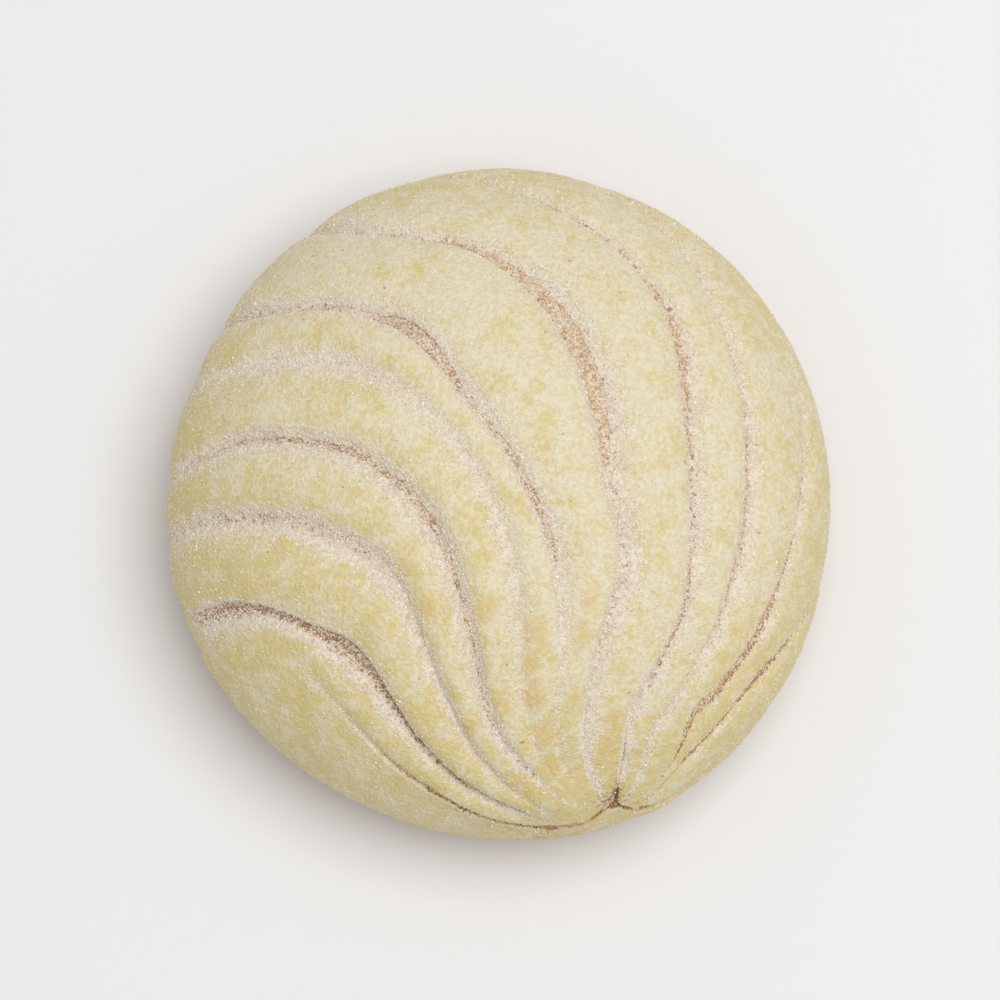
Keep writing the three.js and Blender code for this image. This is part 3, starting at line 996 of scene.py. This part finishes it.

# %% [markdown]
# ## The paste's finish
# Baked paste is a pale butter yellow. Sugar dust drifts over it in patches and is nearly white in the lines.
# Towards the hinge the oven has toasted it in blotches, and pale cracks cross the ribs there. The floors of
# the lines are browned in specks, which turn to orange where the browning is strongest. The same specks are
# painted shade at the foot of some banks and up some gentle ones. All of it is dry and rough, with the soft
# sheen of dust at grazing angles. Each layer is a function.

# %% Finish of the paste
BUTTER = colour(227, 208, 142)
DUSTED = colour(237, 227, 198)
SHADED_PASTE = colour(204, 184, 134)
WHITE_SUGAR = colour(240, 230, 213)
SHADED_SUGAR = colour(209, 188, 170)
TOASTED = colour(225, 191, 104)
BROWNED = colour(158, 112, 78)
LIGHT_BROWN_AND_SHADE = colour(190, 154, 120)
ORANGE_BROWN = colour(204, 156, 90)
SPECK = colour(150, 112, 52)


def heaped_sugar(sheet, where, depth):
    """A heap of grains: white ones, and shaded gaps between them where the heap lies deep in a line."""
    gaps = 0.5 * sheet.noise(where, 0.5, 1) + 0.5 * sheet.noise(where, 1.2, 1)
    return sheet.mix(sheet.between(gaps + 0.28 * (1 - depth), 0.38, 0.62), SHADED_SUGAR, WHITE_SUGAR)


def dusted(sheet, skin):
    """Butter yellow under dust, which lies thickest on top, in the lines and in its drifts."""
    east, north, level = (sheet.axis(skin.where, name) for name in "XYZ")
    at_hinge = sheet.between(skin.station, 0.22, 0.06)
    # more of the dusted colour towards the north-east and higher up
    paler_north_east = sheet.between(0.8 * east + 0.6 * north, -42, 0) * sheet.between(level, 22, 44)
    settled = 0.2 * paler_north_east + 0.07 * sheet.between(level, 36, 50) + 0.25 * skin.held
    settled = settled - 0.16 * at_hinge + sheet.attribute("drift")
    dusty = 0.4 * skin.patches + 0.7 * skin.mottle + 0.4 * skin.grain + 0.12 * skin.fine
    return sheet.mix(sheet.between(dusty + settled, 0.74, 1.22), BUTTER, DUSTED)


def toasted(sheet, skin, body):
    """Toasted blotches, and pale cracks in rings round the hinge."""
    blotch = sheet.attribute("toast") + 0.7 * (skin.mottle - 0.5) + 0.3 * (skin.grain - 0.5)
    body = sheet.mix(sheet.between(blotch, 0.12, 0.75) * 0.5, body, TOASTED)
    ring = sheet.attribute("along") + 5 * skin.patches + 1.2 * skin.mottle
    ring = sheet.node("ShaderNodeMath", {"operation": "PINGPONG"}, {0: ring, 1: 2.6})
    crack = sheet.between(ring + 0.8 * (skin.grain - 0.5), 0.8, 0.15)
    crack = crack * sheet.between(skin.mottle, 0.38, 0.55) * sheet.between(skin.station, 0.55, 0.25)
    return sheet.mix(crack * 0.75, body, DUSTED)


def sanded(sheet, skin, body):
    """Sandy shading, a few dark specks and the sugar in the lines."""
    sand = 0.7 * skin.grain + 0.3 * skin.fine
    body = sheet.mix(sheet.between(sand, 0.64, 0.38) * 0.26, body, SHADED_PASTE)
    speck = sheet.between(sheet.noise(skin.where, 0.9, 0), 0.84, 0.87)
    body = sheet.mix(speck * 0.6, body, SPECK)
    strewn = skin.held + 0.8 * (skin.grain - 0.5) + 0.5 * (skin.mottle - 0.5) + 0.7 * (skin.fine - 0.5)
    return sheet.mix(sheet.between(strewn, 0.38, 0.66), body, heaped_sugar(sheet, skin.where, skin.held))


def browned_floor(sheet, skin, body):
    """Brown specks that close up where the line is browned most; on some banks they are painted shade."""
    stain_and_shade = sheet.attribute("browned")
    specks = 3 * (0.55 * skin.fine + 0.45 * skin.grain - 0.5)
    brown = sheet.between(specks + 0.6 * stain_and_shade, 0.38, 0.7) * sheet.between(stain_and_shade, 0.02, 0.2)
    deep = sheet.between(stain_and_shade + 0.8 * (skin.grain - 0.5), 0.45, 1.1)
    # light brown for weak browning, and for the painted shade on the banks
    tone = sheet.mix(deep, LIGHT_BROWN_AND_SHADE, BROWNED)
    tone = sheet.mix(sheet.between(stain_and_shade, 0.95, 1.3) * 0.85, tone, ORANGE_BROWN)
    return sheet.mix(brown, body, tone)


def paste_finish():
    """All the layers of the paste, from the dusted skin up."""
    sheet = Sheet("paste_finish")
    where = sheet.coordinates()
    skin = SimpleNamespace(where=where, held=sheet.attribute("sugar"), station=sheet.attribute("station"))
    skin.patches = sheet.noise(where, 9)
    skin.mottle, skin.grain, skin.fine = (sheet.noise(where, size, 1) for size in (3, 0.8, 0.35))
    body = dusted(sheet, skin)
    for layer in (toasted, sanded, browned_floor):
        body = layer(sheet, skin, body)
    sheet.set(Base_Color=body, Roughness=0.85, Sheen_Weight=0.2, Sheen_Roughness=0.5)
    sheet.bump((0.6 + 0.9 * skin.held) * skin.grain + 0.6 * skin.fine + 0.3 * skin.mottle, 0.75, 0.4)
    return sheet


dress(paste, [paste_finish()])
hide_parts("sugar_paste")

# %% [markdown]
# ## The bread's finish
# The crust is golden where it stretched last, just below the paste, and browner towards the foot. The crumb
# in the open lines is tan to brown, with dark specks and a strewing of sugar.

# %% Finish of the bread
GOLDEN = colour(206, 150, 84)
TAN = colour(210, 168, 104)
BROWN = colour(160, 114, 70)
DARK = colour(128, 88, 56)


def crust_finish():
    """Golden crust, browner and then dark towards the foot."""
    sheet = Sheet("crust_finish")
    where = sheet.coordinates()
    level = sheet.axis(where, "Z")
    cloud = sheet.noise(where, 14, 3)
    speckle = sheet.noise(where, 1.1, 3)
    baked = sheet.between(level + 7 * (cloud - 0.5), 15, 1)
    body = sheet.mix(baked, GOLDEN, BROWN)
    underside = sheet.between(level + 1.5 * (speckle - 0.5), 1.2, 0.2)
    body = sheet.mix(underside * 0.7, body, DARK)
    body = sheet.mix(sheet.between(speckle, 0.6, 0.78) * 0.3, body, DARK)
    sheet.set(Base_Color=body, Roughness=0.55)
    sheet.bump(speckle + cloud, 0.35, 0.4)
    return sheet


def crumb_finish():
    """Torn bread, tan to brown, with grains lying on it."""
    sheet = Sheet("crumb_finish")
    where = sheet.coordinates()
    dark = sheet.attribute("dark")
    cloud = sheet.noise(where, 3.5, 3)
    speckle = sheet.noise(where, 0.5, 3)
    body = sheet.mix(sheet.between(dark + 1.2 * (cloud - 0.5), 0.1, 0.9), TAN, BROWN)
    body = sheet.mix(sheet.between(speckle, 0.45, 0.68) * (0.15 + 0.7 * dark), body, DARK)
    lying = 0.6 * sheet.noise(where, 0.33, 1) + 0.4 * sheet.noise(where, 0.8, 1)
    white = sheet.between(3 * (lying - 0.5) + sheet.attribute("sugared"), 0.4, 0.6)
    body = sheet.mix(white * 0.85, body, heaped_sugar(sheet, where, 0.8))
    sheet.set(Base_Color=body, Roughness=0.75)
    sheet.bump(speckle, 0.6, 0.3)
    return sheet


dress(bread, [crust_finish()])
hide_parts("bun")
dress(torn_bread, [crumb_finish()])

# %% [markdown]
# ## The sugar's finish
# A grain is clear, but a heap of grains looks white. No two grains look alike: most are milky, some are dull
# with a film of paste and painted shade, and a few are bright and clear with a painted glint. Each piece of
# grains carries these three finishes, dealt out at random. Grains on the ribs are creamier than those in the
# lines.

# %% Finish of the grains


def grain_finishes(name, *tints):
    """Milky; dull, with a film of paste and painted shade; bright, with a painted glint."""
    sheets = [Sheet(f"{name}_{kind}") for kind in ("milky", "dull", "bright")]
    for sheet, tint, roughness in zip(sheets, tints, (0.45, 0.6, 0.2)):
        sheet.set(Base_Color=colour(*tint), Roughness=roughness)
    return sheets


WHITE_GRAINS = grain_finishes("white_grain", (238, 228, 212), (228, 213, 195), (249, 245, 236))
CREAMY_GRAINS = grain_finishes("creamy_grain", (236, 226, 197), (229, 215, 174), (245, 238, 220))
for piece in in_lines + [on_crumb]:
    dress(piece, WHITE_GRAINS)
for piece in on_ribs:
    dress(piece, CREAMY_GRAINS)

# %% [markdown]
# ## Floor, light and camera
# The bun lies on a plain pale floor. One large soft lamp stands high to the right, and a bright even sky
# lightens the rest. The camera looks almost straight down through a long lens.

# %% Floor, light and camera
CAMERA_ELEVATION = math.radians(83.5)
LENS = 135
SENSOR = 36
# the part's width, and its share of the picture's
PART_WIDTH = 112 * MM
ACROSS_PICTURE = 0.6625
AIM = Vector((middle_x - 0.18 * MM, middle_y + 0.5 * MM, 23 * MM))

bpy.ops.mesh.primitive_plane_add(size=4)
floor = bpy.context.object
floor.name = "floor"
floor_sheet = Sheet("floor_paint")
floor_sheet.set(Base_Color=(0.9, 0.9, 0.9, 1), Roughness=0.9)
floor.data.materials.append(floor_sheet.material)


def facing(place_from, place_to):
    """The turn that points a lamp or a camera from one place to another."""
    return (place_to - place_from).to_track_quat("-Z", "Y").to_euler()


lamp_place = Vector((0.21, 0.05, 1.08))
bpy.ops.object.light_add(type="AREA", location=lamp_place, rotation=facing(lamp_place, Vector((0, 0, 0.03))))
lamp = bpy.context.object
lamp.name = "key_lamp"
lamp.data.shape = "DISK"
lamp.data.size = 0.7
lamp.data.energy = 7.0
world = bpy.data.worlds.new("sky")
world.use_nodes = True
background = world.node_tree.nodes["Background"]
background.inputs["Color"].default_value = (1, 1, 1, 1)
background.inputs["Strength"].default_value = 0.435
bpy.context.scene.world = world
bpy.context.scene.view_settings.view_transform = "Standard"

reach = PART_WIDTH / ACROSS_PICTURE * LENS / SENSOR
eye = AIM + reach * Vector((0, -math.cos(CAMERA_ELEVATION), math.sin(CAMERA_ELEVATION)))
bpy.ops.object.camera_add(location=eye, rotation=facing(eye, AIM))
camera = bpy.context.object
camera.data.lens = LENS
camera.data.sensor_width = SENSOR
bpy.context.scene.camera = camera
print("camera", round(reach, 3), "m away")
